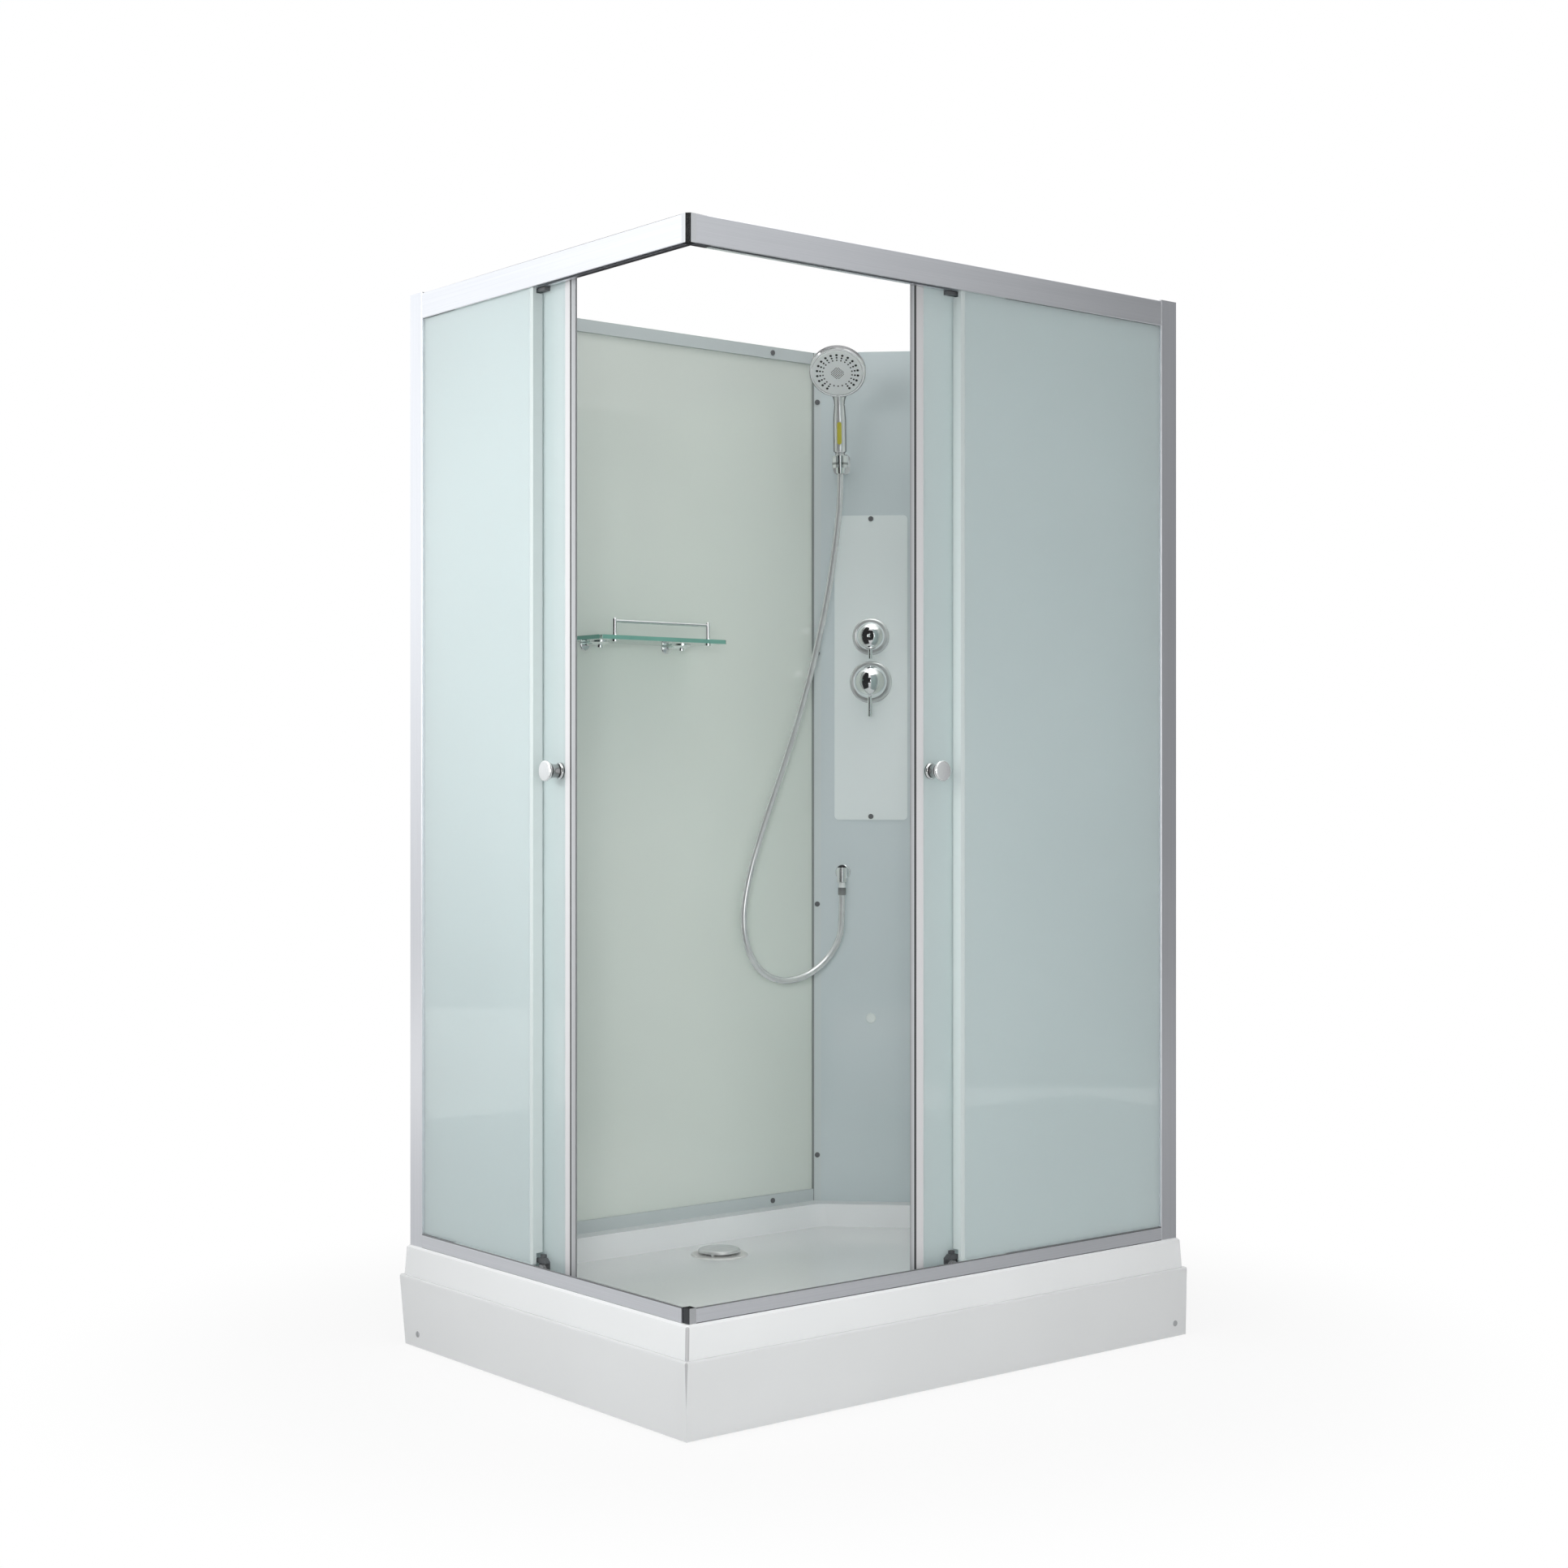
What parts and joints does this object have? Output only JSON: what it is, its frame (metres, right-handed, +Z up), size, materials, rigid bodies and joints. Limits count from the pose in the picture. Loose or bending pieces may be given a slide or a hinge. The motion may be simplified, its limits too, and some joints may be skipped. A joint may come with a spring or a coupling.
{
  "type": "corner shower cabin",
  "caption": "Rectangular corner shower cabin with sliding frosted doors meeting at the front corner, low tray, service column, hand shower on a hose and a glass shelf.",
  "frame": {"origin": "on the floor under the middle of the cabin's outline", "axes": "+Z up; +X along the long front; +Y from the long front to the back wall"},
  "size_m": [1.2, 0.9, 1.98],
  "materials": {
    "tray": "gloss",
    "apron": "gloss",
    "zinc_steel": "satin",
    "dark_plastic": "matte",
    "trap_plastic": "matte",
    "chrome": "polished",
    "brass": "satin",
    "hose": "polished",
    "handset": "gloss",
    "spray_face": "gloss",
    "grip": "matte",
    "column": "gloss",
    "plate": "gloss",
    "wall_glass": "back painted",
    "front_glass": "frosted",
    "shelf_glass": "clear",
    "seal": "matte",
    "profile": "satin",
    "bracket": "matte",
    "wheel": "matte"
  },
  "bodies": {
    "cabin": {"apron_screws": "dark_plastic", "back_wall_glass": "wall_glass", "blanking_plug": "column", "column_panel": "column", "control_plate": "plate", "corner_joints": "chrome", "escutcheons": "chrome", "hose_lower_nut": "chrome", "left_bottom_rail": "profile", "left_fixed_glass": "front_glass", "left_header": "profile", "left_post": "profile", "levelling_feet": "dark_plastic", "outlet_elbow": "chrome", "outlet_pipe": "brass", "panel_seals": "seal", "right_bottom_rail": "profile", "right_fixed_glass": "front_glass", "right_header": "profile", "right_post": "profile", "screw_caps": "dark_plastic", "shelf_brackets": "chrome", "shelf_gallery": "chrome", "shelf_glass": "shelf_glass", "shower_holder": "chrome", "shower_hose": "hose", "side_wall_glass": "wall_glass", "tray": "tray", "tray_apron": "apron", "tray_frame": "zinc_steel", "valve_body": "brass", "wall_profiles": "profile", "wall_rails": "profile", "waste_trap": "trap_plastic"},
    "left_door": {"left_door_glass": "front_glass", "left_door_stile": "profile", "left_door_seals": "seal", "left_door_knobs": "chrome", "left_door_brackets": "bracket"},
    "right_door": {"right_door_glass": "front_glass", "right_door_stile": "profile", "right_door_seals": "seal", "right_door_knobs": "chrome", "right_door_brackets": "bracket"},
    "left_wheel_bottom_front": {"left_wheel_bottom_front": "wheel"},
    "left_wheel_bottom_rear": {"left_wheel_bottom_rear": "wheel"},
    "left_wheel_top_front": {"left_wheel_top_front": "wheel"},
    "left_wheel_top_rear": {"left_wheel_top_rear": "wheel"},
    "right_wheel_bottom_front": {"right_wheel_bottom_front": "wheel"},
    "right_wheel_bottom_rear": {"right_wheel_bottom_rear": "wheel"},
    "right_wheel_top_front": {"right_wheel_top_front": "wheel"},
    "right_wheel_top_rear": {"right_wheel_top_rear": "wheel"},
    "mixer_spindle": {"mixer_spindle": "brass"},
    "mixer_handle": {"mixer_handle": "chrome"},
    "diverter": {"diverter_knob": "chrome"},
    "hose_end": {"hose_upper_nut": "chrome"},
    "handset": {"handset_body": "handset", "handset_grip_strip": "grip"},
    "spray_face": {"handset_face": "spray_face"},
    "waste_cover": {"waste_cover": "chrome"}
  },
  "joints": [
    {"name": "left_door_slide", "type": "slide", "parent": "cabin", "child": "left_door", "axis": [0, -1, 0], "range_m": [0, 0.33]},
    {"name": "left_wheel_top_front_spin", "type": "hinge", "parent": "left_door", "child": "left_wheel_top_front", "pos_m": [-0.5654, 0.017, 1.9473], "axis": [1, 0, 0], "range_deg": [0, 3000]},
    {"name": "left_wheel_top_rear_spin", "type": "hinge", "parent": "left_door", "child": "left_wheel_top_rear", "pos_m": [-0.5654, 0.2811, 1.9473], "axis": [1, 0, 0], "range_deg": [0, 3000]},
    {"name": "left_wheel_bottom_front_spin", "type": "hinge", "parent": "left_door", "child": "left_wheel_bottom_front", "pos_m": [-0.5654, 0.017, 0.2038], "axis": [1, 0, 0], "range_deg": [0, 3000]},
    {"name": "left_wheel_bottom_rear_spin", "type": "hinge", "parent": "left_door", "child": "left_wheel_bottom_rear", "pos_m": [-0.5654, 0.2811, 0.2038], "axis": [1, 0, 0], "range_deg": [0, 3000]},
    {"name": "right_door_slide", "type": "slide", "parent": "cabin", "child": "right_door", "axis": [-1, 0, 0], "range_m": [0, 0.48]},
    {"name": "right_wheel_top_front_spin", "type": "hinge", "parent": "right_door", "child": "right_wheel_top_front", "pos_m": [0.017, -0.4154, 1.9473], "axis": [0, -1, 0], "range_deg": [0, 4300]},
    {"name": "right_wheel_top_rear_spin", "type": "hinge", "parent": "right_door", "child": "right_wheel_top_rear", "pos_m": [0.4311, -0.4154, 1.9473], "axis": [0, -1, 0], "range_deg": [0, 4300]},
    {"name": "right_wheel_bottom_front_spin", "type": "hinge", "parent": "right_door", "child": "right_wheel_bottom_front", "pos_m": [0.017, -0.4154, 0.2038], "axis": [0, -1, 0], "range_deg": [0, 4300]},
    {"name": "right_wheel_bottom_rear_spin", "type": "hinge", "parent": "right_door", "child": "right_wheel_bottom_rear", "pos_m": [0.4311, -0.4154, 0.2038], "axis": [0, -1, 0], "range_deg": [0, 4300]},
    {"name": "mixer_turn", "type": "hinge", "parent": "cabin", "child": "mixer_spindle", "pos_m": [0.481, 0.331, 1.274], "axis": [-0.7071, -0.7071, 0], "range_deg": [-45, 45]},
    {"name": "mixer_lift", "type": "hinge", "parent": "mixer_spindle", "child": "mixer_handle", "pos_m": [0.46262, 0.31262, 1.274], "axis": [-0.7071, 0.7071, 0], "range_deg": [0, 15]},
    {"name": "diverter_turn", "type": "hinge", "parent": "cabin", "child": "diverter", "pos_m": [0.481, 0.331, 1.371], "axis": [-0.7071, -0.7071, 0], "range_deg": [-45, 45]},
    {"name": "handset_lift", "type": "slide", "parent": "cabin", "child": "hose_end", "axis": [-0.1228, -0.1228, 0.9848], "range_m": [0, 0.07], "deforming": ["shower_hose"]},
    {"name": "handset_swivel", "type": "hinge", "parent": "hose_end", "child": "handset", "pos_m": [0.4018, 0.33949, 1.739], "axis": [-0.1228, -0.1228, 0.9848], "range_deg": [-40, 40]},
    {"name": "spray_face_turn", "type": "hinge", "parent": "handset", "child": "spray_face", "pos_m": [0.35313, 0.29081, 1.91983], "axis": [-0.5417, -0.5417, -0.6428], "range_deg": [-40, 40]},
    {"name": "waste_cover_lift", "type": "slide", "parent": "cabin", "child": "waste_cover", "axis": [0, 0, 1], "range_m": [0, 0.035]}
  ],
  "couplings": [
    {"joint": "left_wheel_top_front_spin", "follows": "left_door_slide", "rad_per_m": 153.85},
    {"joint": "left_wheel_top_rear_spin", "follows": "left_door_slide", "rad_per_m": 153.85},
    {"joint": "left_wheel_bottom_front_spin", "follows": "left_door_slide", "rad_per_m": 153.85},
    {"joint": "left_wheel_bottom_rear_spin", "follows": "left_door_slide", "rad_per_m": 153.85},
    {"joint": "right_wheel_top_front_spin", "follows": "right_door_slide", "rad_per_m": 153.85},
    {"joint": "right_wheel_top_rear_spin", "follows": "right_door_slide", "rad_per_m": 153.85},
    {"joint": "right_wheel_bottom_front_spin", "follows": "right_door_slide", "rad_per_m": 153.85},
    {"joint": "right_wheel_bottom_rear_spin", "follows": "right_door_slide", "rad_per_m": 153.85}
  ]
}
